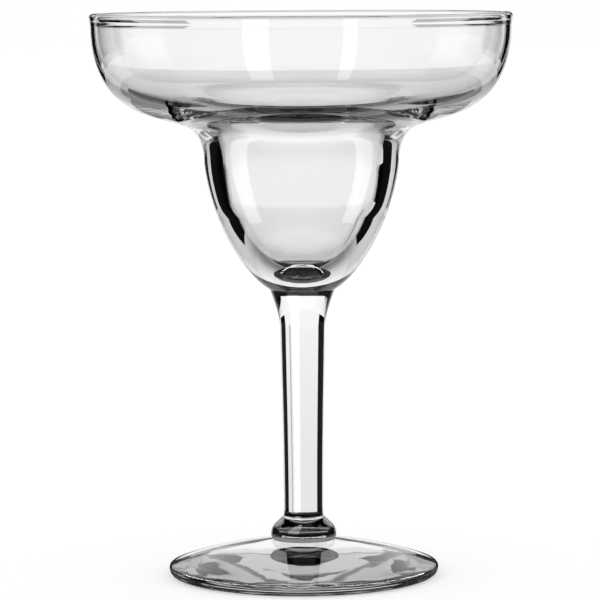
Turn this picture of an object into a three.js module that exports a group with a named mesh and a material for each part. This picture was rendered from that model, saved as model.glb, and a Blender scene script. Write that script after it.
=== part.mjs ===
// Margarita glass of clear soda-lime glass: bowl, stem, knop and foot, fused hot one on another.
// Millimetres, +Z up. The origin is the middle of the flat ring that the foot stands on.
// Every piece is turned about the Z axis. Its outline is written as radius and height, with the
// height counted from the flat seat that the piece stands on, and its round stretches are curves
// whose directions are in degrees: 0 is outwards, 90 is up and 180 is inwards.

import * as THREE from 'three';

// Fineness of the solids
const SEGMENTS = 48;
const LONG_STRETCH_STEPS = 10;
const SHORT_STRETCH_STEPS = 6;
const QUARTER_ROUND_STEPS = 4;

// Foot: pressed disc with a domed top, a rounded edge and a shallow hollow underneath
const FOOT_RADIUS = 36.95;
const FOOT_HEIGHT = 9.9;
const FOOT_LOWER_ROUND = 2.3;
const FOOT_UPPER_ROUND = 1;
const FOOT_EDGE_SLOPE = 20;
const FOOT_SEAT_SLOPE = 11;
const STANDING_RING_WIDTH = 4;
const HOLLOW_RISE = 1.2;
const HOLLOW_EDGE_SLOPE = 5;
const HOLLOW_HOLDS = [0.4, 0.3];
const DOME_HOLDS = [0.35, 0.35];

// Knop: solid ring between foot and stem, round below and drawn in to a hollow neck above
const KNOP_SEAT_RADIUS = 8.45;
const KNOP_RADIUS = 9;
const KNOP_WIDEST_HEIGHT = 1.4;
const KNOP_SHOULDER_RADIUS = 6.3;
const KNOP_SHOULDER_HEIGHT = 5.6;
const KNOP_HEIGHT = 6.9;
const KNOP_SEAT_DIRECTION = 55;
const KNOP_SHOULDER_DIRECTION = 138;
const KNOP_NECK_DIRECTION = 94;
const KNOP_BELLY_HOLDS = [0.3, 0.4];
const KNOP_SHOULDER_HOLDS = [0.4, 0.4];
const KNOP_NECK_HOLDS = [0.35, 0.35];

// Stem: tapered rod that flares at the top to the disc that carries the bowl
const STEM_FOOT_RADIUS = 5.42;
const STEM_TOP_RADIUS = 6.2;
const STEM_LENGTH = 61.9;
const STEM_LEAN = 89;
const FLARE_HEIGHT = 10.4;
const FLARE_LEAN = 70;
const SEAL_RADIUS = 8.85;
const STEM_HOLDS = [0.4, 0.3];
const FLARE_HOLDS = [0.3, 0.4];

// Bowl: a cup under a wide saucer in one blown wall, measured on its outside
const CUP_RADIUS = 26.7;
const CUP_HEIGHT = 35.8;
const CUP_SEAL_DIRECTION = 30;
const CUP_LEAN = 85;
const SHOULDER_RADIUS = 37;
const SHOULDER_RISE = 10.6;
const SHOULDER_SLOPE = 15;
const SAUCER_RADIUS = 57.14;
const SAUCER_HEIGHT = 28.9;
const CUP_HOLDS = [0.22, 0.39];
const SHOULDER_HOLDS = [0.52, 0.53];
const SAUCER_HOLDS = [0.17, 0.66];

// Glass of the bowl, square to its outside, and the knee where the cup's inside turns in to its bottom
const SAUCER_WALL = 1.7;
const SHOULDER_WALL = 3;
const CUP_WALL = 5;
const CUP_FLOOR = 5.4;
const CAVITY_LEAN = 82;
const KNEE_DRAW_IN = 3.2;
const KNEE_DROP = 15.1;
const KNEE_SLOPE = 64;
const SAUCER_INSIDE_HOLDS = [0.66, 0.17];
const SHOULDER_INSIDE_HOLDS = [0.5, 0.5];
const CAVITY_HOLDS = [0.45, 0.27];
const CUP_BOTTOM_HOLDS = [0.28, 0.45];

// Bead that the flame leaves at the rim
const BEAD_THICKNESS = 2.2;
const BEAD_PROUD = 0.3;
const BEAD_BLEND_HEIGHT = 2.2;

// Clear glass with a fire-polished surface
const GLASS_COLOUR = 0xf4f7f6;
const GLASS_ROUGHNESS = 0.02;
const GLASS_OPACITY = 0.4;

const UP = 90;
const INWARDS = 180;
const DOWN = 270;

function at(radius, height) {
  return new THREE.Vector2(radius, height);
}

function direction(degrees) {
  const angle = THREE.MathUtils.degToRad(degrees);
  return new THREE.Vector2(Math.cos(angle), Math.sin(angle));
}

// A point moved square to the left of a direction, so from the outside of a wall to its inside.
function through(outside, degrees, wall) {
  return outside.clone().addScaledVector(direction(degrees + 90), wall);
}

// Points of a smooth stretch, without its first. It leaves and arrives in the given directions, and
// its two holds are the shares of the distance for which it keeps to the first and to the second.
function stretch(from, leave, to, arrive, holds, steps) {
  const distance = from.distanceTo(to);
  const [leaveHold, arriveHold] = holds;
  const curve = new THREE.CubicBezierCurve(
    from,
    from.clone().addScaledVector(direction(leave), distance * leaveHold),
    to.clone().addScaledVector(direction(arrive), -distance * arriveHold),
    to,
  );
  return curve.getPoints(steps).slice(1);
}

// Points of an arc about a centre, from one direction to another.
function arc(centre, radius, start, end, steps) {
  const points = [];
  for (let step = 0; step <= steps; step += 1) {
    const degrees = THREE.MathUtils.lerp(start, end, step / steps);
    points.push(centre.clone().addScaledVector(direction(degrees), radius));
  }
  return points;
}

function turned(name, outline, standsAt) {
  const geometry = new THREE.LatheGeometry(outline, SEGMENTS);
  geometry.rotateX(Math.PI / 2);
  const glass = new THREE.MeshStandardMaterial({
    name: `${name} glass`,
    color: GLASS_COLOUR,
    roughness: GLASS_ROUGHNESS,
    metalness: 0,
    transparent: true,
    opacity: GLASS_OPACITY,
  });
  const mesh = new THREE.Mesh(geometry, glass);
  mesh.name = name;
  mesh.position.z = standsAt;
  return mesh;
}

function footOutline() {
  const lowerCentre = at(FOOT_RADIUS - FOOT_LOWER_ROUND, FOOT_LOWER_ROUND);
  const upperCentre = at(FOOT_RADIUS - FOOT_UPPER_ROUND, FOOT_LOWER_ROUND);
  const lowerRound = arc(lowerCentre, FOOT_LOWER_ROUND, -UP, 0, QUARTER_ROUND_STEPS);
  const upperRound = arc(upperCentre, FOOT_UPPER_ROUND, 0, UP - FOOT_EDGE_SLOPE, QUARTER_ROUND_STEPS);
  const hollowEdge = at(lowerCentre.x - STANDING_RING_WIDTH, 0);
  const hollowTop = at(0, HOLLOW_RISE);
  const seat = at(KNOP_SEAT_RADIUS, FOOT_HEIGHT);
  return [
    hollowTop,
    ...stretch(hollowTop, 0, hollowEdge, -HOLLOW_EDGE_SLOPE, HOLLOW_HOLDS, SHORT_STRETCH_STEPS),
    ...lowerRound,
    ...upperRound.slice(1),
    ...stretch(
      upperRound.at(-1), INWARDS - FOOT_EDGE_SLOPE,
      seat, INWARDS - FOOT_SEAT_SLOPE, DOME_HOLDS, LONG_STRETCH_STEPS,
    ),
    at(0, FOOT_HEIGHT),
  ];
}

function knopOutline() {
  const seat = at(KNOP_SEAT_RADIUS, 0);
  const widest = at(KNOP_RADIUS, KNOP_WIDEST_HEIGHT);
  const shoulder = at(KNOP_SHOULDER_RADIUS, KNOP_SHOULDER_HEIGHT);
  const top = at(STEM_FOOT_RADIUS, KNOP_HEIGHT);
  return [
    at(0, 0),
    seat,
    ...stretch(seat, KNOP_SEAT_DIRECTION, widest, UP, KNOP_BELLY_HOLDS, SHORT_STRETCH_STEPS),
    ...stretch(widest, UP, shoulder, KNOP_SHOULDER_DIRECTION, KNOP_SHOULDER_HOLDS, LONG_STRETCH_STEPS),
    ...stretch(
      shoulder, KNOP_SHOULDER_DIRECTION, top, KNOP_NECK_DIRECTION, KNOP_NECK_HOLDS, SHORT_STRETCH_STEPS,
    ),
    at(0, KNOP_HEIGHT),
  ];
}

function stemOutline() {
  const bottom = at(STEM_FOOT_RADIUS, 0);
  const flareStart = at(STEM_TOP_RADIUS, STEM_LENGTH - FLARE_HEIGHT);
  const seal = at(SEAL_RADIUS, STEM_LENGTH);
  return [
    at(0, 0),
    bottom,
    ...stretch(bottom, UP, flareStart, STEM_LEAN, STEM_HOLDS, SHORT_STRETCH_STEPS),
    ...stretch(flareStart, STEM_LEAN, seal, FLARE_LEAN, FLARE_HOLDS, SHORT_STRETCH_STEPS),
    at(0, STEM_LENGTH),
  ];
}

function bowlOutline() {
  // Outside, from the seal up to the bead
  const seal = at(SEAL_RADIUS, 0);
  const cupMouth = at(CUP_RADIUS, CUP_HEIGHT);
  const shoulder = at(SHOULDER_RADIUS, CUP_HEIGHT + SHOULDER_RISE);
  const beadRound = BEAD_THICKNESS / 2;
  const beadRadius = SAUCER_RADIUS + BEAD_PROUD - beadRound;
  const beadCentre = at(beadRadius, shoulder.y + SAUCER_HEIGHT - beadRound);
  const saucerTop = at(SAUCER_RADIUS, beadCentre.y - BEAD_BLEND_HEIGHT);
  const bead = arc(beadCentre, beadRound, 0, INWARDS, 2 * QUARTER_ROUND_STEPS);

  // Inside, from the bead down to the bottom of the cup
  const saucerTopInside = through(saucerTop, UP, SAUCER_WALL);
  const shoulderInside = through(shoulder, SHOULDER_SLOPE, SHOULDER_WALL);
  const cupMouthInside = through(cupMouth, CUP_LEAN, CUP_WALL);
  const knee = at(cupMouthInside.x - KNEE_DRAW_IN, cupMouthInside.y - KNEE_DROP);
  const cupFloor = at(0, CUP_FLOOR);
  const intoShoulder = SHOULDER_SLOPE + INWARDS;
  const intoCup = CAVITY_LEAN + INWARDS;
  const intoKnee = KNEE_SLOPE + INWARDS;
  return [
    at(0, 0),
    seal,
    ...stretch(seal, CUP_SEAL_DIRECTION, cupMouth, CUP_LEAN, CUP_HOLDS, LONG_STRETCH_STEPS),
    ...stretch(cupMouth, CUP_LEAN, shoulder, SHOULDER_SLOPE, SHOULDER_HOLDS, LONG_STRETCH_STEPS),
    ...stretch(shoulder, SHOULDER_SLOPE, saucerTop, UP, SAUCER_HOLDS, LONG_STRETCH_STEPS),
    ...bead,
    saucerTopInside,
    ...stretch(
      saucerTopInside, DOWN, shoulderInside, intoShoulder, SAUCER_INSIDE_HOLDS, LONG_STRETCH_STEPS,
    ),
    ...stretch(
      shoulderInside, intoShoulder, cupMouthInside, intoCup, SHOULDER_INSIDE_HOLDS, LONG_STRETCH_STEPS,
    ),
    ...stretch(cupMouthInside, intoCup, knee, intoKnee, CAVITY_HOLDS, SHORT_STRETCH_STEPS),
    ...stretch(knee, intoKnee, cupFloor, INWARDS, CUP_BOTTOM_HOLDS, LONG_STRETCH_STEPS),
  ];
}

const knopStandsAt = FOOT_HEIGHT;
const stemStandsAt = knopStandsAt + KNOP_HEIGHT;
const bowlStandsAt = stemStandsAt + STEM_LENGTH;

const glass = new THREE.Group();
glass.name = 'margarita_glass';
glass.add(turned('foot', footOutline(), 0));
glass.add(turned('knop', knopOutline(), knopStandsAt));
glass.add(turned('stem', stemOutline(), stemStandsAt));
glass.add(turned('bowl', bowlOutline(), bowlStandsAt));

export default glass;
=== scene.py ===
"""A margarita glass of clear soda-lime glass, dressed round its packed solids.

Every piece is turned about the Z axis of the frame. The heights and the widest radii come from the packed
nodes, and the rest of each outline comes from the sizes below. Outlines are radius and height in metres.
"""

import math

import bmesh
import bpy
from bpy.props import FloatProperty, IntProperty, PointerProperty, StringProperty
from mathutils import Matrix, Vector
from mathutils.geometry import interpolate_bezier


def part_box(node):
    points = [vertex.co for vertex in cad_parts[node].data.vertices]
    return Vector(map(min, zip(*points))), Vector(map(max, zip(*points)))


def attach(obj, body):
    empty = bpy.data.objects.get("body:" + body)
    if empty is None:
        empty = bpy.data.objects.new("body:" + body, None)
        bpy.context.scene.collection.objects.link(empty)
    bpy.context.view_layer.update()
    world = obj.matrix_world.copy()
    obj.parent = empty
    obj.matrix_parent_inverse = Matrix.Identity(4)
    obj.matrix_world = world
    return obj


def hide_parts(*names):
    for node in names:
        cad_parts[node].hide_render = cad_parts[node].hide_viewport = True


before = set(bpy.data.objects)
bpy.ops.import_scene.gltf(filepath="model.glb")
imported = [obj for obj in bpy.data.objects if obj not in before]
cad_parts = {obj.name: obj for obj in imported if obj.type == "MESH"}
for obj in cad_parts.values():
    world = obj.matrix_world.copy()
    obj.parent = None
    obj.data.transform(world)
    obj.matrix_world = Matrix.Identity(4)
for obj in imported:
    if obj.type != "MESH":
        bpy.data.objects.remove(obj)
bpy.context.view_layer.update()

bl_info = {
    "name": "Margarita glass",
    "version": (1, 0, 0),
    "blender": (4, 5, 0),
    "location": "View3D > Sidebar > Glass",
    "description": "Turns the bowl, stem, knop and foot of a margarita glass and lights them as in a studio",
    "category": "Add Mesh",
}

MM = 0.001

# Directions in an outline, as turns from outwards
UP = math.radians(90.0)
INWARDS = math.radians(180.0)
DOWN = math.radians(270.0)

# How near to the axis, or to a seam's height, a point of an outline counts as on it
ON_AXIS = 0.0001 * MM
SAME_HEIGHT = 0.001 * MM


def top_of(node):
    """Height of the highest point of a packed node."""
    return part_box(node)[1].z


def foot_of(node):
    """Height of the lowest point of a packed node."""
    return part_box(node)[0].z


def radius_of(node):
    """Widest radius of a packed node."""
    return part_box(node)[1].x


# Shares of each stretch of an outline for which it keeps to its first and to its last direction
HOLLOW_HOLDS = (0.4, 0.3)
DOME_HOLDS = (0.35, 0.35)
KNOP_BELLY_HOLDS = (0.3, 0.4)
KNOP_SHOULDER_HOLDS = (0.4, 0.4)
KNOP_NECK_HOLDS = (0.35, 0.35)
STEM_HOLDS = (0.4, 0.3)
FLARE_HOLDS = (0.3, 0.4)
CUP_HOLDS = (0.22, 0.39)
SHOULDER_HOLDS = (0.52, 0.53)
SAUCER_HOLDS = (0.17, 0.66)
BEAD_HOLDS = (0.4, 0.4)
SAUCER_INSIDE_HOLDS = (0.66, 0.17)
SHOULDER_INSIDE_HOLDS = (0.5, 0.5)
CAVITY_HOLDS = (0.45, 0.27)
CUP_BOTTOM_HOLDS = (0.28, 0.45)

# Elevations of straight down and straight up, in degrees
NADIR = -90.0
ZENITH = 90.0

# Brightness of the studio by elevation in degrees, as light sees it that goes straight through the glass
SEEN_THROUGH = (
    (NADIR, 0.9), (-60.0, 0.86), (-45.0, 0.72), (-30.0, 0.62), (-25.0, 0.66), (-20.0, 0.75), (-15.0, 0.84),
    (-8.0, 0.86), (-5.9, 0.9), (-4.8, 0.96), (-3.0, 1.0), (24.0, 1.0), (34.0, 0.05),
)

# The same for light that the glass mirrored once, twice or more, and so often that it is all but lost
MIRRORED_ONCE = (
    (NADIR, 0.3), (-60.0, 0.45), (-52.0, 0.3), (-46.0, 0.2), (-40.0, 0.35), (-34.0, 0.6), (-28.0, 0.78),
    (-20.0, 0.9), (-10.0, 1.0), (0.0, 1.1), (18.0, 1.1), (23.0, 0.06), (44.0, 0.06), (47.0, 0.5),
    (62.0, 0.55), (70.0, 0.06),
)
MIRRORED_OFTEN = ((NADIR, 0.03), (4.0, 0.03), (9.0, 1.0), (26.0, 1.0), (31.0, 0.03))
MIRRORED_DEEP = ((NADIR, 0.06), (ZENITH, 0.06))

# Fewest and most times that the glass has mirrored the light that sees a card
MANY = 99
DEEPLY = 12
STRAIGHT = (0, 0)
ONCE = (1, 1)
MIRRORED = (1, DEEPLY - 1)
OFTEN = (2, DEEPLY - 1)
DEEP = (DEEPLY, MANY)
NOT_DEEP = (0, DEEPLY - 1)
EVER_MIRRORED = (1, MANY)

# Light that sees a card: all, what has been in the glass, or what was mirrored on its outside
ANYWHERE = "anywhere"
INSIDE = "inside"
OUTSIDE = "outside"

# Share of the light that is left by each mirroring in the glass
LEFT_BY_A_MIRRORING = 0.88

# Share of mirrored light that is left once it has gone through more than so many surfaces
LEFT_BEHIND_WALLS = 0.08
WALL_SURFACES = 4

# Distances of the cards from the axis, from the furthest to the nearest
DISTANT = 30.0
FAR = 3.0
BEFORE_FAR = 0.95 * FAR
BACKDROP = 172.0 * MM
NEAR = 168.0 * MM
SOFTBOXES = radius_of("bowl") + 17.56 * MM
ROUND_BOWL = radius_of("bowl") + 5.36 * MM
BESIDE_CUP = radius_of("bowl") + 4.56 * MM
ROUND_LIP = radius_of("bowl") + 4.16 * MM
ROUND_SHOULDER = radius_of("bowl") + 3.76 * MM
ROUND_RIM = radius_of("bowl") + 0.76 * MM
UNDER_SAUCER = 40.0 * MM
BESIDE_FOOT = radius_of("foot") + 3.05 * MM
ROUND_FOOT = radius_of("foot") + 0.65 * MM
BY_KNOP = 20.0 * MM
BY_STEM = 12.0 * MM
ROUND_KNOP = 11.5 * MM

# Height of the cards that lie just under the table top
UNDER_FOOT = -0.5 * MM

SIDES = (("left", -1.0), ("right", 1.0))
ALL_ROUND = (0.0, 360.0)
BLACK = 0.0
WHITE = "FFFFFF"
CARD_STEPS = 48

# Times that light may meet the glass on its way
BOUNCES = 32

# Width of the camera's sensor, in millimetres
SENSOR_WIDTH = 36.0


def length(name, description, default):
    """A size that is set in metres and shown as a length."""
    return FloatProperty(name=name, description=description, default=default, unit="LENGTH", precision=5)


def degrees(name, description, default):
    """An angle that is written in degrees. In an outline 0 is outwards, 90 is up and 180 is inwards."""
    return FloatProperty(name=name, description=description, default=math.radians(default), subtype="ANGLE")


def brightness(name, description, default):
    """A level of light, where 1 is white."""
    return FloatProperty(
        name=name, description=description, default=default, min=0.0, max=1.0, subtype="FACTOR",
    )


def hex_colour(name, description, default):
    """A colour written as an sRGB hex value."""
    return StringProperty(name=name, description=description, default=default)


class FootSizes(bpy.types.PropertyGroup):
    """Sizes of the pressed foot"""
    lower_round: length("Lower round", "Radius of the edge below its widest place", 2.3 * MM)
    upper_round: length("Upper round", "Radius of the edge above its widest place", 1.0 * MM)
    edge_slope: degrees("Edge slope", "Fall of the domed top at the edge", 20.0)
    seat_slope: degrees("Seat slope", "Fall of the domed top at the knop", 11.0)
    ring_width: length("Standing ring", "Width of the flat ring that the glass stands on", 4.0 * MM)
    hollow_rise: length("Hollow", "Rise of the hollow under the foot", 1.2 * MM)
    hollow_slope: degrees("Hollow slope", "Slope of the hollow at the standing ring", 5.0)


class KnopSizes(bpy.types.PropertyGroup):
    """Sizes of the knop"""
    seat_radius: length("Seat radius", "Radius of the seam between knop and foot", 8.45 * MM)
    widest_height: length("Widest height", "Height of the widest place above the foot", 1.4 * MM)
    seat_direction: degrees("Seat direction", "Direction of the side at the foot", 55.0)
    shoulder_radius: length("Shoulder radius", "Radius where the round side turns hollow", 6.3 * MM)
    shoulder_height: length("Shoulder height", "Height of that turn above the foot", 5.6 * MM)
    shoulder_direction: degrees("Shoulder direction", "Direction of the side at that turn", 138.0)
    neck_direction: degrees("Neck direction", "Direction of the side at the stem", 94.0)


class StemSizes(bpy.types.PropertyGroup):
    """Sizes of the stem"""
    foot_radius: length("Foot radius", "Radius of the seam between stem and knop", 5.42 * MM)
    top_radius: length("Top radius", "Radius where the flare begins", 6.2 * MM)
    lean: degrees("Lean", "Direction of the side where the flare begins", 89.0)
    flare_height: length("Flare height", "Height of the flare under the bowl", 10.4 * MM)
    flare_lean: degrees("Flare lean", "Direction of the flare at the bowl", 70.0)


class BowlSizes(bpy.types.PropertyGroup):
    """Sizes of the blown bowl"""
    cup_radius: length("Cup radius", "Outside radius of the cup at its mouth", 26.7 * MM)
    cup_height: length("Cup height", "Height of the cup's mouth above the seal", 35.8 * MM)
    cup_seal_direction: degrees("Cup direction", "Direction of the cup's side at the seal", 30.0)
    cup_lean: degrees("Cup lean", "Direction of the cup's side at its mouth", 85.0)
    shoulder_radius: length("Shoulder radius", "Outside radius at the turn of the shoulder", 37.0 * MM)
    shoulder_rise: length("Shoulder rise", "Height of that turn above the cup's mouth", 10.6 * MM)
    shoulder_slope: degrees("Shoulder slope", "Slope of the saucer's underside there", 15.0)
    saucer_wall: length("Saucer wall", "Thickness of the saucer's upright wall", 1.7 * MM)
    shoulder_wall: length("Shoulder wall", "Thickness of the saucer's floor", 3.0 * MM)
    cup_wall: length("Cup wall", "Thickness of the cup at its mouth", 5.0 * MM)
    cavity_lean: degrees("Cavity lean", "Direction of the cup's inside at its mouth", 82.0)
    knee_draw_in: length("Knee draw-in", "Draw-in of the cup's inside from its mouth to its knee", 3.2 * MM)
    knee_drop: length("Knee drop", "How far the knee lies below the mouth", 15.1 * MM)
    knee_slope: degrees("Knee slope", "Direction of the cup's inside at the knee", 64.0)
    cup_floor: length("Cup floor", "Glass between the cup's bottom and the seal", 5.4 * MM)
    bead_thickness: length("Bead", "Thickness of the fire-polished bead at the rim", 2.2 * MM)
    bead_proud: length("Bead proud", "How far the bead stands out from the wall", 0.3 * MM)
    bead_blend: length("Bead blend", "Height over which the bead runs into the wall", 2.2 * MM)


class GlassFinish(bpy.types.PropertyGroup):
    """Finish and fineness of the glass"""
    tint: hex_colour("Tint", "Colour of the glass as sRGB hex", "FFFFFF")
    blown_wave: length("Blown wave", "Size of the waves in blown glass", 14.0 * MM)
    blown_depth: length("Blown depth", "Depth of the waves in blown glass", 0.02 * MM)
    pressed_wave: length("Pressed wave", "Size of the ripples in pressed glass", 9.0 * MM)
    pressed_depth: length("Pressed depth", "Depth of the ripples in pressed glass", 0.12 * MM)
    # The seam's grey tint is painted shade: it darkens all light that crosses a seam
    seam_shade: hex_colour("Seam tint", "Colour of light that went through a seam, as sRGB hex", "C0C0C0")
    ior: FloatProperty(name="IOR", description="Refractive index of soda-lime glass", default=1.52)
    segments: IntProperty(name="Segments", description="Faces round each piece", default=256)
    steps: IntProperty(name="Steps", description="Points along each stretch of an outline", default=40)


class StudioSettings(bpy.types.PropertyGroup):
    """Camera, floor and light of the studio"""
    camera_distance: length("Camera distance", "Distance of the camera from the axis", 0.9455)
    camera_height: length("Camera height", "Height of the camera", 0.1671)
    camera_aside: length("Camera aside", "Sideways place of the camera", -0.13 * MM)
    camera_fall: degrees("Camera fall", "Angle of the camera below level", 5.52)
    camera_roll: degrees("Camera roll", "Turn of the camera to its right", 0.33)
    lens: FloatProperty(name="Lens", description="Focal length in millimetres", default=208.5, unit="CAMERA")
    floor_size: length("Floor size", "Length of each side of the floor", 12.0)
    floor_colour: hex_colour("Floor colour", "Colour of the floor's paper as sRGB hex", "E7E7E7")
    floor_glow: brightness("Floor glow", "Light that the floor itself gives", 0.42)
    room_light: brightness("Room light", "Light of the room on the floor", 0.8)


def linear(hex_value):
    """An sRGB hex colour as linear RGBA."""
    channels = []
    for place in (0, 2, 4):
        share = int(hex_value[place:place + 2], 16) / 255
        channels.append(share / 12.92 if share <= 0.04045 else ((share + 0.055) / 1.055) ** 2.4)
    return (*channels, 1.0)


def add_node(tree, kind, settings=None, inputs=None, links=None):
    """Adds a node with its settings, input values and links from other sockets."""
    node = tree.nodes.new(kind)
    for name, value in (settings or {}).items():
        setattr(node, name, value)
    for name, value in (inputs or {}).items():
        node.inputs[name].default_value = value
    for name, socket in (links or {}).items():
        tree.links.new(socket, node.inputs[name])
    return node


def new_material(name):
    """An empty node material and its output node."""
    material = bpy.data.materials.new(name)
    material.use_nodes = True
    material.node_tree.nodes.clear()
    output = add_node(material.node_tree, "ShaderNodeOutputMaterial")
    return material, output


def wavy_glass(name, finish, wave_size, wave_depth):
    """Colourless soda-lime glass with a sharp gloss, waved as melted glass is when it sets."""
    if name in bpy.data.materials:
        return bpy.data.materials[name]
    material, output = new_material(name)
    tree = material.node_tree
    place_on_piece = add_node(tree, "ShaderNodeTexCoord")
    waves = add_node(
        tree, "ShaderNodeTexNoise",
        inputs={"Scale": 1.0 / wave_size, "Detail": 1.0},
        links={"Vector": place_on_piece.outputs["Object"]},
    )
    surface = add_node(
        tree, "ShaderNodeBump",
        inputs={"Distance": wave_depth},
        links={"Height": waves.outputs[0]},
    )
    shader = add_node(
        tree, "ShaderNodeBsdfPrincipled",
        inputs={
            "Base Color": linear(finish.tint),
            "Roughness": 0.0,
            "IOR": finish.ior,
            "Transmission Weight": 1.0,
        },
        links={"Normal": surface.outputs["Normal"]},
    )
    tree.links.new(shader.outputs["BSDF"], output.inputs["Surface"])
    return material


def blown_glass(finish):
    """Blown and drawn glass, fire-polished: long, faint waves that bend straight lines a little."""
    return wavy_glass("fire_polished_blown_glass", finish, finish.blown_wave, finish.blown_depth)


def pressed_glass(finish):
    """Pressed glass: shorter, deeper ripples from the mould that break up what is seen in it."""
    return wavy_glass("rippled_pressed_glass", finish, finish.pressed_wave, finish.pressed_depth)


def fused_seam(finish):
    """Seat where two gathers melted into one: light goes straight on, dimmed by a grey tint, painted shade
    that darkens all that is seen through the seam.
    """
    name = "fused_glass_seam"
    if name in bpy.data.materials:
        return bpy.data.materials[name]
    material, output = new_material(name)
    tree = material.node_tree
    shader = add_node(tree, "ShaderNodeBsdfTransparent", inputs={"Color": linear(finish.seam_shade)})
    tree.links.new(shader.outputs["BSDF"], output.inputs["Surface"])
    return material


def at(radius, height):
    """A point of an outline."""
    return Vector((radius, height))


def direction(turn):
    """Unit direction in an outline."""
    return Vector((math.cos(turn), math.sin(turn)))


def through(outside, turn, wall):
    """A point moved square to the left of a direction: from a wall's outside to its inside."""
    return outside + direction(turn + UP) * wall


def stretch(start, leave, end, arrive, holds, steps):
    """Points of a smooth stretch, without its first point.

    It leaves and arrives in the given directions, and its two holds are the shares of the distance for which
    it keeps to the first and to the second.
    """
    distance = (end - start).length
    first = start + direction(leave) * distance * holds[0]
    second = end - direction(arrive) * distance * holds[1]
    return interpolate_bezier(start, first, second, end, steps + 1)[1:]


def arc(centre, radius, start, end, steps):
    """Points of an arc about a centre, from one direction to another."""
    return [
        centre + direction(start + (end - start) * step / steps) * radius
        for step in range(steps + 1)
    ]


def turned(name, outline, seats, finish, glass):
    """Turns an outline that starts and ends on the axis, and puts a kind of glass on it.

    seats holds the heights of the flat seams, whose faces let the light straight through.
    """
    mesh = bpy.data.meshes.new(name)
    work = bmesh.new()
    rings = []
    for point in outline:
        if point.x < ON_AXIS:
            rings.append([work.verts.new((0.0, 0.0, point.y))])
            continue
        ring = []
        for step in range(finish.segments):
            turn = math.tau * step / finish.segments
            ring.append(work.verts.new((point.x * math.cos(turn), point.x * math.sin(turn), point.y)))
        rings.append(ring)
    for lower, upper in zip(rings, rings[1:]):
        for step in range(finish.segments):
            after = (step + 1) % finish.segments
            corners = [lower[step % len(lower)], lower[after % len(lower)]]
            corners += [upper[after % len(upper)], upper[step % len(upper)]]
            face = work.faces.new(list(dict.fromkeys(corners)))
            face.smooth = True
            if any(all(abs(corner.co.z - seat) < SAME_HEIGHT for corner in corners) for seat in seats):
                face.material_index = 1
    for edge in work.edges:
        kinds = {face.material_index for face in edge.link_faces}
        edge.smooth = len(kinds) == 1
    work.to_mesh(mesh)
    work.free()
    mesh.materials.append(glass(finish))
    mesh.materials.append(fused_seam(finish))
    piece = bpy.data.objects.new(name, mesh)
    bpy.context.scene.collection.objects.link(piece)
    return piece


def place(piece, node):
    """Puts a piece in the frame in the place of its packed node."""
    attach(piece, "root")
    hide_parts(node)


class GLASS_OT_foot(bpy.types.Operator):
    """Press the foot: a disc with a domed top, a rounded edge and a shallow hollow underneath"""
    bl_idname = "glass.foot"
    bl_label = "Foot"

    def execute(self, context):
        sizes = context.scene.foot_sizes
        knop = context.scene.knop_sizes
        finish = context.scene.glass_finish
        steps = finish.steps
        round_steps = steps // 2
        lower_centre = at(radius_of("foot") - sizes.lower_round, sizes.lower_round)
        upper_centre = at(radius_of("foot") - sizes.upper_round, sizes.lower_round)
        lower_round = arc(lower_centre, sizes.lower_round, -UP, 0.0, round_steps)
        upper_round = arc(upper_centre, sizes.upper_round, 0.0, UP - sizes.edge_slope, round_steps)
        hollow_top = at(0.0, sizes.hollow_rise)
        hollow_edge = at(lower_centre.x - sizes.ring_width, 0.0)
        seat = at(knop.seat_radius, top_of("foot"))
        from_edge = INWARDS - sizes.edge_slope
        to_seat = INWARDS - sizes.seat_slope
        outline = [hollow_top]
        outline += stretch(hollow_top, 0.0, hollow_edge, -sizes.hollow_slope, HOLLOW_HOLDS, steps)
        outline += lower_round
        outline += upper_round[1:]
        outline += stretch(upper_round[-1], from_edge, seat, to_seat, DOME_HOLDS, steps)
        outline.append(at(0.0, seat.y))
        place(turned("pressed_foot", outline, [seat.y], finish, pressed_glass), "foot")
        return {"FINISHED"}


class GLASS_OT_knop(bpy.types.Operator):
    """Make the knop: the solid ring between foot and stem"""
    bl_idname = "glass.knop"
    bl_label = "Knop"

    def execute(self, context):
        sizes = context.scene.knop_sizes
        stem = context.scene.stem_sizes
        finish = context.scene.glass_finish
        steps = finish.steps
        seat = at(sizes.seat_radius, foot_of("knop"))
        widest = at(radius_of("knop"), seat.y + sizes.widest_height)
        shoulder = at(sizes.shoulder_radius, seat.y + sizes.shoulder_height)
        top = at(stem.foot_radius, top_of("knop"))
        outline = [at(0.0, seat.y), seat]
        outline += stretch(seat, sizes.seat_direction, widest, UP, KNOP_BELLY_HOLDS, steps)
        outline += stretch(widest, UP, shoulder, sizes.shoulder_direction, KNOP_SHOULDER_HOLDS, steps)
        outline += stretch(
            shoulder, sizes.shoulder_direction, top, sizes.neck_direction, KNOP_NECK_HOLDS, steps,
        )
        outline.append(at(0.0, top.y))
        place(turned("solid_knop", outline, [seat.y, top.y], finish, blown_glass), "knop")
        return {"FINISHED"}


class GLASS_OT_stem(bpy.types.Operator):
    """Draw the stem: a tapered rod that flares at the top to carry the bowl"""
    bl_idname = "glass.stem"
    bl_label = "Stem"

    def execute(self, context):
        sizes = context.scene.stem_sizes
        finish = context.scene.glass_finish
        bottom = at(sizes.foot_radius, foot_of("stem"))
        seal = at(radius_of("stem"), top_of("stem"))
        flare_start = at(sizes.top_radius, seal.y - sizes.flare_height)
        outline = [at(0.0, bottom.y), bottom]
        outline += stretch(bottom, UP, flare_start, sizes.lean, STEM_HOLDS, finish.steps)
        outline += stretch(flare_start, sizes.lean, seal, sizes.flare_lean, FLARE_HOLDS, finish.steps)
        outline.append(at(0.0, seal.y))
        place(turned("drawn_stem", outline, [bottom.y, seal.y], finish, blown_glass), "stem")
        return {"FINISHED"}


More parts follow.
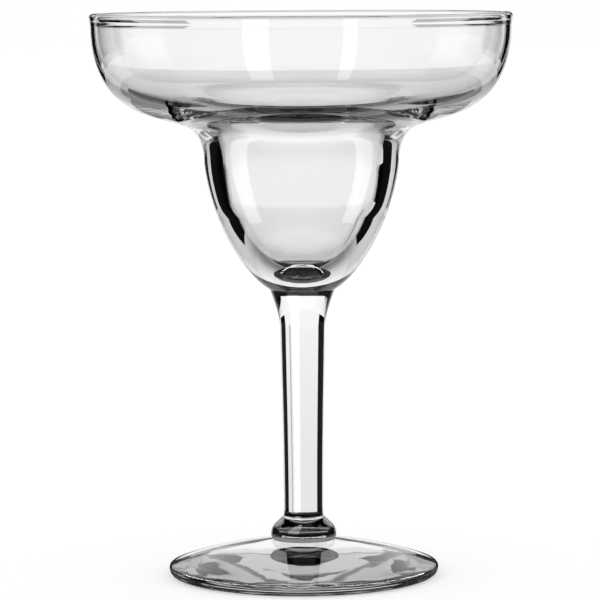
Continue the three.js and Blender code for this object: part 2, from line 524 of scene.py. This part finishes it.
class GLASS_OT_bowl(bpy.types.Operator):
    """Blow the bowl: a cup under a wide saucer in one wall, with a bead at the rim"""
    bl_idname = "glass.bowl"
    bl_label = "Bowl"

    def execute(self, context):
        sizes = context.scene.bowl_sizes
        finish = context.scene.glass_finish
        steps = finish.steps
        blend_steps = steps // 4
        seal = at(radius_of("stem"), foot_of("bowl"))
        cup_mouth = at(sizes.cup_radius, seal.y + sizes.cup_height)
        shoulder = at(sizes.shoulder_radius, cup_mouth.y + sizes.shoulder_rise)
        bead_round = sizes.bead_thickness / 2
        bead_centre = at(radius_of("bowl") - bead_round, top_of("bowl") - bead_round)
        saucer_top = at(radius_of("bowl") - sizes.bead_proud, bead_centre.y - sizes.bead_blend)
        bead = arc(bead_centre, bead_round, 0.0, INWARDS, steps)
        saucer_top_inside = through(saucer_top, UP, sizes.saucer_wall)
        shoulder_inside = through(shoulder, sizes.shoulder_slope, sizes.shoulder_wall)
        cup_mouth_inside = through(cup_mouth, sizes.cup_lean, sizes.cup_wall)
        knee = at(cup_mouth_inside.x - sizes.knee_draw_in, cup_mouth_inside.y - sizes.knee_drop)
        cup_floor = at(0.0, seal.y + sizes.cup_floor)
        into_shoulder = sizes.shoulder_slope + INWARDS
        into_cup = sizes.cavity_lean + INWARDS
        into_knee = sizes.knee_slope + INWARDS
        outline = [at(0.0, seal.y), seal]
        outline += stretch(seal, sizes.cup_seal_direction, cup_mouth, sizes.cup_lean, CUP_HOLDS, steps)
        outline += stretch(cup_mouth, sizes.cup_lean, shoulder, sizes.shoulder_slope, SHOULDER_HOLDS, steps)
        outline += stretch(shoulder, sizes.shoulder_slope, saucer_top, UP, SAUCER_HOLDS, steps)
        outline += stretch(saucer_top, UP, bead[0], UP, BEAD_HOLDS, blend_steps)
        outline += bead[1:]
        outline += stretch(bead[-1], DOWN, saucer_top_inside, DOWN, BEAD_HOLDS, blend_steps)
        outline += stretch(
            saucer_top_inside, DOWN, shoulder_inside, into_shoulder, SAUCER_INSIDE_HOLDS, steps,
        )
        outline += stretch(
            shoulder_inside, into_shoulder, cup_mouth_inside, into_cup, SHOULDER_INSIDE_HOLDS, steps,
        )
        outline += stretch(cup_mouth_inside, into_cup, knee, into_knee, CAVITY_HOLDS, steps)
        outline += stretch(knee, into_knee, cup_floor, INWARDS, CUP_BOTTOM_HOLDS, steps)
        place(turned("blown_bowl", outline, [seal.y], finish, blown_glass), "bowl")
        return {"FINISHED"}


def by_elevation(tree, stops):
    """Brightness of the studio by the elevation of a direction, in degrees."""
    outwards = add_node(tree, "ShaderNodeTexCoord")
    split = add_node(tree, "ShaderNodeSeparateXYZ", links={0: outwards.outputs["Generated"]})
    elevation = add_node(
        tree, "ShaderNodeMath", {"operation": "ARCSINE"}, links={0: split.outputs["Z"]},
    )
    share = add_node(
        tree, "ShaderNodeMapRange",
        inputs={"From Min": -math.pi / 2, "From Max": math.pi / 2},
        links={"Value": elevation.outputs[0]},
    )
    brightest = max(level for angle, level in stops)
    ramp = add_node(tree, "ShaderNodeValToRGB", links={"Fac": share.outputs[0]})
    while len(ramp.color_ramp.elements) < len(stops):
        ramp.color_ramp.elements.new(0.5)
    for element, (angle, level) in zip(ramp.color_ramp.elements, stops):
        element.position = (angle - NADIR) / (ZENITH - NADIR)
        element.color = (level / brightest, level / brightest, level / brightest, 1.0)
    scaled = add_node(
        tree, "ShaderNodeMath", {"operation": "MULTIPLY"},
        inputs={1: brightest}, links={0: ramp.outputs["Color"]},
    )
    return scaled.outputs[0]


def mirrored(tree, times):
    """1 for light that the glass has mirrored at least so many times on its way, and 0 for other light."""
    path = add_node(tree, "ShaderNodeLightPath")
    enough = add_node(
        tree, "ShaderNodeMath", {"operation": "GREATER_THAN"},
        inputs={1: times - 0.5}, links={0: path.outputs["Glossy Depth"]},
    )
    return enough.outputs[0]


def left_by_mirrorings(tree):
    """Share that is left of light which the glass mirrored again and again on a long way inside it."""
    path = add_node(tree, "ShaderNodeLightPath")
    share = add_node(
        tree, "ShaderNodeMath", {"operation": "POWER"},
        inputs={0: LEFT_BY_A_MIRRORING}, links={1: path.outputs["Glossy Depth"]},
    )
    return share.outputs[0]


def left_behind_walls(tree):
    """Share that is left of mirrored light which also went through the walls of the far side."""
    path = add_node(tree, "ShaderNodeLightPath")
    walls = add_node(
        tree, "ShaderNodeMath", {"operation": "GREATER_THAN"},
        inputs={1: WALL_SURFACES + 0.5}, links={0: path.outputs["Transmission Depth"]},
    )
    behind = add_node(
        tree, "ShaderNodeMath", {"operation": "MULTIPLY"},
        links={0: walls.outputs[0], 1: mirrored(tree, 1)},
    )
    share = add_node(
        tree, "ShaderNodeMapRange",
        inputs={"To Min": 1.0, "To Max": LEFT_BEHIND_WALLS},
        links={"Value": behind.outputs[0]},
    )
    return share.outputs[0]


def seen_in_glass(tree):
    """Brightness of the studio to light that comes through the glass: a bright backdrop in a dark room."""
    once = add_node(
        tree, "ShaderNodeMix",
        links={
            0: mirrored(tree, 1),
            2: by_elevation(tree, SEEN_THROUGH),
            3: by_elevation(tree, MIRRORED_ONCE),
        },
    )
    often = add_node(
        tree, "ShaderNodeMix",
        links={0: mirrored(tree, 2), 2: once.outputs[0], 3: by_elevation(tree, MIRRORED_OFTEN)},
    )
    left = add_node(
        tree, "ShaderNodeMath", {"operation": "MULTIPLY"},
        links={0: often.outputs[0], 1: left_by_mirrorings(tree)},
    )
    shaded = add_node(
        tree, "ShaderNodeMath", {"operation": "MULTIPLY"},
        links={0: left.outputs[0], 1: left_behind_walls(tree)},
    )
    deep = add_node(
        tree, "ShaderNodeMix",
        links={0: mirrored(tree, DEEPLY), 2: shaded.outputs[0], 3: by_elevation(tree, MIRRORED_DEEP)},
    )
    return deep.outputs[0]


def white_world(studio):
    """A world that is white to the camera, gives the floor its light and shows the glass a studio."""
    world = bpy.data.worlds.new("white_studio")
    world.use_nodes = True
    tree = world.node_tree
    tree.nodes.clear()
    path = add_node(tree, "ShaderNodeLightPath")
    in_glass = add_node(
        tree, "ShaderNodeMath", {"operation": "MAXIMUM"},
        links={0: path.outputs["Is Glossy Ray"], 1: path.outputs["Is Transmission Ray"]},
    )
    plain = add_node(
        tree, "ShaderNodeMapRange",
        inputs={"To Min": studio.room_light, "To Max": 1.0},
        links={"Value": path.outputs["Is Camera Ray"]},
    )
    level = add_node(
        tree, "ShaderNodeMix",
        links={0: in_glass.outputs[0], 2: plain.outputs[0], 3: seen_in_glass(tree)},
    )
    background = add_node(
        tree, "ShaderNodeBackground",
        inputs={"Color": linear(WHITE)},
        links={"Strength": level.outputs[0]},
    )
    output = add_node(tree, "ShaderNodeOutputWorld")
    tree.links.new(background.outputs[0], output.inputs["Surface"])
    bpy.context.scene.world = world


def card_face(name, level, seen, where):
    """A card of one even brightness, clear to all light but that which the glass mirrored the given times.

    It is one-sided: the side that faces the axis shows, and of a flat card the upper side.
    """
    material, output = new_material(name)
    tree = material.node_tree
    fewest, most = seen
    counted = add_node(
        tree, "ShaderNodeMath", {"operation": "SUBTRACT"},
        links={0: mirrored(tree, fewest), 1: mirrored(tree, most + 1)},
    )
    side = add_node(tree, "ShaderNodeNewGeometry")
    shown = add_node(
        tree, "ShaderNodeMath", {"operation": "MULTIPLY"},
        links={0: counted.outputs[0], 1: side.outputs["Backfacing"]},
    )
    if where != ANYWHERE:
        path = add_node(tree, "ShaderNodeLightPath")
        been_there = add_node(
            tree, "ShaderNodeMath", {"operation": "GREATER_THAN" if where == INSIDE else "LESS_THAN"},
            inputs={1: 0.5}, links={0: path.outputs["Transmission Depth"]},
        )
        shown = add_node(
            tree, "ShaderNodeMath", {"operation": "MULTIPLY"},
            links={0: shown.outputs[0], 1: been_there.outputs[0]},
        )
    strength = add_node(
        tree, "ShaderNodeMath", {"operation": "MULTIPLY"},
        inputs={0: level, 1: 1.0},
    )
    if fewest < DEEPLY:
        tree.links.new(left_by_mirrorings(tree), strength.inputs[1])
    glow = add_node(
        tree, "ShaderNodeEmission",
        inputs={"Color": linear(WHITE)}, links={"Strength": strength.outputs[0]},
    )
    clear = add_node(tree, "ShaderNodeBsdfTransparent")
    shader = add_node(
        tree, "ShaderNodeMixShader",
        links={0: shown.outputs[0], 1: clear.outputs[0], 2: glow.outputs[0]},
    )
    tree.links.new(shader.outputs[0], output.inputs["Surface"])
    return material


def card(name, azimuths, low, high, level, seen, where):
    """A curved card about the axis that only the glass shows.

    azimuths are degrees from the back of the studio, positive to the right. low and high are the radius and
    height of its two edges.
    """
    first, last = sorted(azimuths)
    points = []
    for step in range(CARD_STEPS + 1):
        turn = math.radians(first + (last - first) * step / CARD_STEPS)
        for radius, height in (low, high):
            points.append((radius * math.sin(turn), radius * math.cos(turn), height))
    faces = [(2 * step, 2 * step + 1, 2 * step + 3, 2 * step + 2) for step in range(CARD_STEPS)]
    mesh = bpy.data.meshes.new(name)
    mesh.from_pydata(points, [], faces)
    mesh.materials.append(card_face(name, level, seen, where))
    piece = bpy.data.objects.new(name, mesh)
    bpy.context.scene.collection.objects.link(piece)
    piece.visible_camera = False
    piece.visible_diffuse = False
    piece.visible_shadow = False


def upright(name, azimuths, radius, heights, level, seen=MIRRORED, where=ANYWHERE):
    """A card that stands at one radius, between two heights."""
    low, high = heights
    card(name, azimuths, (radius, low), (radius, high), level, seen, where)


def aloft(name, azimuths, radius, elevations, level, seen=MIRRORED, where=ANYWHERE):
    """A card that stands at one radius, between two elevations in degrees as seen from the table."""
    heights = [radius * math.tan(math.radians(angle)) for angle in elevations]
    upright(name, azimuths, radius, heights, level, seen, where)


def lying(name, radii, level, seen=MIRRORED, where=ANYWHERE):
    """A flat ring just under the foot, between two radii."""
    inner, outer = radii
    card(name, ALL_ROUND, (inner, UNDER_FOOT), (outer, UNDER_FOOT), level, seen, where)


def saucer_cards():
    """Cards for the saucer and its rim."""
    flag_width = 12.5
    rim_heights = (156.0 * MM, 190.0 * MM)
    softbox_heights = (112.0 * MM, 165.0 * MM)
    for word, side, inner in (("left", -1.0, 33.6), ("right", 1.0, 36.5)):
        # The dark line down each side of the saucer
        upright(
            f"saucer_flag_{word}", azimuths=(side * inner, side * (inner + flag_width)),
            radius=NEAR, heights=(108.0 * MM, 170.0 * MM), level=BLACK,
        )
        # The dark ends of the rim, which fade towards its middle
        upright(
            f"rim_flag_{word}", azimuths=(side * 20.0, side * 45.0),
            radius=BACKDROP, heights=rim_heights, level=BLACK, seen=STRAIGHT,
        )
        upright(
            f"rim_grey_{word}", azimuths=(side * 13.0, side * 20.0),
            radius=BACKDROP, heights=rim_heights, level=0.5, seen=STRAIGHT,
        )
        # A grey wall at each side, which keeps the sides of the saucer from glaring
        aloft(
            f"side_{word}", azimuths=(side * 40.0, side * 100.0),
            radius=FAR, elevations=(-3.0, 30.0), level=0.45, seen=ONCE, where=INSIDE,
        )
    # The clear light behind the saucer, and the thin dark line along the far rim
    upright(
        "saucer_light", azimuths=(-60.0, 60.0),
        radius=BACKDROP, heights=(112.0 * MM, 150.0 * MM), level=1.05, seen=STRAIGHT,
    )
    upright(
        "rim_line", azimuths=ALL_ROUND,
        radius=ROUND_RIM, heights=(153.2 * MM, 153.8 * MM), level=0.2, seen=STRAIGHT,
    )
    # The two upright white strips on the front of the saucer
    for word, azimuths in (("right", (161.4, 166.3)), ("left", (190.4, 199.3))):
        upright(
            f"softbox_{word}", azimuths=azimuths,
            radius=SOFTBOXES, heights=softbox_heights, level=3.0, seen=ONCE, where=OUTSIDE,
        )


def shoulder_cards():
    """Cards for the shoulder, where the saucer runs into the cup."""
    # The dark band round the shoulder
    upright(
        "shoulder_shade", azimuths=(-32.0, 32.0),
        radius=ROUND_SHOULDER, heights=(98.0 * MM, 120.0 * MM), level=BLACK, seen=ONCE, where=INSIDE,
    )
    upright(
        "bowl_shade", azimuths=ALL_ROUND,
        radius=ROUND_BOWL, heights=(58.0 * MM, 200.0 * MM), level=0.05, seen=OFTEN,
    )
    # The fine light and dark lines where light goes round and round in the thick wall
    upright(
        "lip_light", azimuths=ALL_ROUND,
        radius=ROUND_LIP, heights=(85.0 * MM, 121.0 * MM), level=1.0, seen=DEEP,
    )
    upright(
        "lip_shade", azimuths=ALL_ROUND,
        radius=ROUND_LIP, heights=(121.0 * MM, 128.0 * MM), level=0.4, seen=DEEP,
    )
    upright(
        "lip_line", azimuths=(-100.0, 100.0),
        radius=ROUND_LIP, heights=(128.0 * MM, 129.5 * MM), level=1.0, seen=DEEP,
    )
    upright(
        "lip_grey", azimuths=(-100.0, 100.0),
        radius=ROUND_LIP, heights=(129.5 * MM, 150.0 * MM), level=0.3, seen=DEEP,
    )


def cup_cards():
    """Cards for the cup."""
    for word, side in SIDES:
        # The pale strip down each side of the cup, and the dark beside it that keeps the black bars clean
        upright(
            f"cup_strip_{word}", azimuths=(side * 117.0, side * 135.0),
            radius=UNDER_SAUCER, heights=(82.0 * MM, 114.0 * MM), level=3.0, seen=ONCE, where=OUTSIDE,
        )
        upright(
            f"cup_dark_{word}", azimuths=(side * 62.0, side * 112.0),
            radius=UNDER_SAUCER, heights=(70.0 * MM, 118.0 * MM), level=0.02, seen=ONCE, where=OUTSIDE,
        )
    # The black bars in the walls of the cup
    upright(
        "cup_flag_left", azimuths=(-43.5, -80.0),
        radius=BESIDE_CUP, heights=(60.0 * MM, 115.0 * MM), level=BLACK,
    )
    upright(
        "cup_flag_right", azimuths=(48.5, 70.0),
        radius=BESIDE_CUP, heights=(55.0 * MM, 115.0 * MM), level=BLACK,
    )


def stem_cards():
    """Cards for the stem and its flare."""
    # The dark edges of the stem, and of the flare above it
    for word, azimuths, top in (("left", (-33.3, -66.0), 23.0), ("right", (37.8, 62.0), 30.0)):
        aloft(
            f"stem_flag_{word}", azimuths=azimuths,
            radius=DISTANT, elevations=(-8.95, top), level=BLACK, seen=STRAIGHT,
        )
        aloft(
            f"flare_flag_{word}", azimuths=azimuths,
            radius=BEFORE_FAR, elevations=(-9.4, top), level=BLACK, seen=EVER_MIRRORED,
        )
    # The thin grey line beside the left edge, and the white strip down the front
    upright(
        "stem_gap", azimuths=(22.3, 25.3),
        radius=NEAR, heights=(-30.0 * MM, 68.0 * MM), level=0.5, seen=STRAIGHT,
    )
    upright(
        "stem_light", azimuths=(192.7, 222.4),
        radius=BY_STEM, heights=(16.5 * MM, 74.5 * MM), level=5.0, seen=ONCE, where=OUTSIDE,
    )


def knop_cards():
    """Cards for the knop."""
    # The glint on its front
    upright(
        "knop_light", azimuths=(194.6, 228.0),
        radius=BY_KNOP, heights=(16.5 * MM, 24.0 * MM), level=5.0, seen=ONCE, where=OUTSIDE,
    )
    # Its grey lower edge under a dark belly, with a gap that gives the thin light line
    upright(
        "knop_shade", azimuths=ALL_ROUND,
        radius=ROUND_KNOP, heights=(10.0 * MM, 12.8 * MM), level=0.25, seen=STRAIGHT,
    )
    upright(
        "knop_dark", azimuths=(14.0, 368.0),
        radius=ROUND_KNOP, heights=(12.8 * MM, 15.5 * MM), level=0.03, seen=STRAIGHT,
    )


def foot_cards():
    """Cards for the foot."""
    for word, side in SIDES:
        # A black ring hugging the edge: painted shade, which the glass shows as its dark rounded edge
        upright(
            f"foot_ring_{word}", azimuths=(side * 12.0, side * 178.0),
            radius=ROUND_FOOT, heights=(UNDER_FOOT, 3.8 * MM), level=BLACK, seen=NOT_DEEP,
        )
    # The thin white line along the front edge
    upright(
        "foot_line", azimuths=(105.0, 255.0),
        radius=BESIDE_FOOT, heights=(6.0 * MM, 10.5 * MM), level=14.0, seen=ONCE, where=OUTSIDE,
    )
    # The table under the foot as the glass shows it: painted shadow, dark where the knop stands and round
    # the edge, pale under the hollow
    lying("paper", radii=(10.0 * MM, 35.7 * MM), level=1.0, seen=OFTEN)
    # Black disc and ring under the knop: the painted contact shadow
    lying("contact", radii=(0.0, 10.0 * MM), level=BLACK)
    lying("contact_edge", radii=(10.0 * MM, 17.0 * MM), level=BLACK, seen=ONCE)
    lying("foot_shadow", radii=(35.8 * MM, 47.0 * MM), level=BLACK, seen=NOT_DEEP)
    lying("foot_shade", radii=(47.0 * MM, 60.0 * MM), level=BLACK, where=INSIDE)
    lying("table", radii=(60.5 * MM, 105.0 * MM), level=0.9, seen=ONCE, where=OUTSIDE)


def room_cards():
    """Cards for the room: grey in front of the glass, dark round it and white above it."""
    upright(
        "front_shade", azimuths=(138.0, 240.0),
        radius=NEAR, heights=(90.0 * MM, 135.0 * MM), level=0.3,
    )
    aloft("front_low", azimuths=(100.0, 260.0), radius=FAR, elevations=(-60.0, -3.0), level=0.2)
    aloft("front_high", azimuths=(100.0, 260.0), radius=FAR, elevations=(-3.0, 40.0), level=0.25)
    upright(
        "dark_room", azimuths=(42.0, 318.0),
        radius=NEAR, heights=(-50.0 * MM, 75.0 * MM), level=0.02, seen=ONCE, where=OUTSIDE,
    )
    aloft(
        "dark_above", azimuths=(-100.0, 100.0),
        radius=BEFORE_FAR, elevations=(3.0, 10.0), level=0.05, seen=ONCE, where=OUTSIDE,
    )
    aloft(
        "white_above", azimuths=(-100.0, 100.0),
        radius=BEFORE_FAR, elevations=(10.0, 70.0), level=1.1, seen=ONCE, where=OUTSIDE,
    )


def matt_paper(studio):
    """Matt white paper without gloss, lit from above: white to the eye but for the object's soft shadow."""
    material, output = new_material("matt_white_paper")
    tree = material.node_tree
    paper = add_node(tree, "ShaderNodeBsdfDiffuse", inputs={"Color": linear(studio.floor_colour)})
    glow = add_node(tree, "ShaderNodeEmission", inputs={"Strength": studio.floor_glow})
    both = add_node(tree, "ShaderNodeAddShader", links={0: paper.outputs[0], 1: glow.outputs[0]})
    tree.links.new(both.outputs[0], output.inputs["Surface"])
    return material


def lay_floor(studio):
    """The floor, which carries the object's shadow and doesn't show in the glass."""
    half = studio.floor_size / 2
    corners = [(-half, -half, 0.0), (half, -half, 0.0), (half, half, 0.0), (-half, half, 0.0)]
    mesh = bpy.data.meshes.new("floor")
    mesh.from_pydata(corners, [], [(0, 1, 2, 3)])
    mesh.materials.append(matt_paper(studio))
    floor = bpy.data.objects.new("floor", mesh)
    bpy.context.scene.collection.objects.link(floor)
    floor.visible_glossy = False
    floor.visible_transmission = False


def set_camera(studio):
    """The camera, a little above the rim and tipped down."""
    lens = bpy.data.cameras.new("camera")
    lens.lens = studio.lens
    lens.sensor_width = SENSOR_WIDTH
    camera = bpy.data.objects.new("camera", lens)
    camera.location = (studio.camera_aside, -studio.camera_distance, studio.camera_height)
    camera.rotation_euler = (UP - studio.camera_fall, studio.camera_roll, 0.0)
    bpy.context.scene.collection.objects.link(camera)
    bpy.context.scene.camera = camera


class GLASS_OT_stage(bpy.types.Operator):
    """Set the studio: white floor and world, cards round the glass and the camera"""
    bl_idname = "glass.stage"
    bl_label = "Stage"

    def execute(self, context):
        studio = context.scene.studio
        white_world(studio)
        saucer_cards()
        shoulder_cards()
        cup_cards()
        stem_cards()
        knop_cards()
        foot_cards()
        room_cards()
        lay_floor(studio)
        set_camera(studio)
        cycles = context.scene.cycles
        cycles.max_bounces = BOUNCES
        cycles.transmission_bounces = BOUNCES
        cycles.glossy_bounces = BOUNCES
        cycles.transparent_max_bounces = BOUNCES
        context.scene.view_settings.view_transform = "Standard"
        return {"FINISHED"}


OPERATORS = (GLASS_OT_foot, GLASS_OT_knop, GLASS_OT_stem, GLASS_OT_bowl, GLASS_OT_stage)
SETTINGS = {
    "foot_sizes": FootSizes,
    "knop_sizes": KnopSizes,
    "stem_sizes": StemSizes,
    "bowl_sizes": BowlSizes,
    "glass_finish": GlassFinish,
    "studio": StudioSettings,
}


class GLASS_PT_panel(bpy.types.Panel):
    """Lists the pieces of the glass and their settings"""
    bl_idname = "GLASS_PT_panel"
    bl_label = "Margarita glass"
    bl_space_type = "VIEW_3D"
    bl_region_type = "UI"
    bl_category = "Glass"

    def draw(self, context):
        for operator in OPERATORS:
            self.layout.operator(operator.bl_idname)
        for name, group in SETTINGS.items():
            box = self.layout.box()
            box.label(text=group.__doc__)
            for setting in group.__annotations__:
                box.prop(getattr(context.scene, name), setting)


CLASSES = (*OPERATORS, GLASS_PT_panel)


def register():
    """Registers the settings, the operators and the panel."""
    for name, group in SETTINGS.items():
        bpy.utils.register_class(group)
        setattr(bpy.types.Scene, name, PointerProperty(type=group))
    for kind in CLASSES:
        bpy.utils.register_class(kind)


def unregister():
    """Takes the panel, the operators and the settings away again."""
    for kind in reversed(CLASSES):
        bpy.utils.unregister_class(kind)
    for name, group in SETTINGS.items():
        delattr(bpy.types.Scene, name)
        bpy.utils.unregister_class(group)


def main():
    """Makes every piece and the studio."""
    register()
    bpy.ops.glass.foot()
    bpy.ops.glass.knop()
    bpy.ops.glass.stem()
    bpy.ops.glass.bowl()
    bpy.ops.glass.stage()


if __name__ == "__main__":
    main()
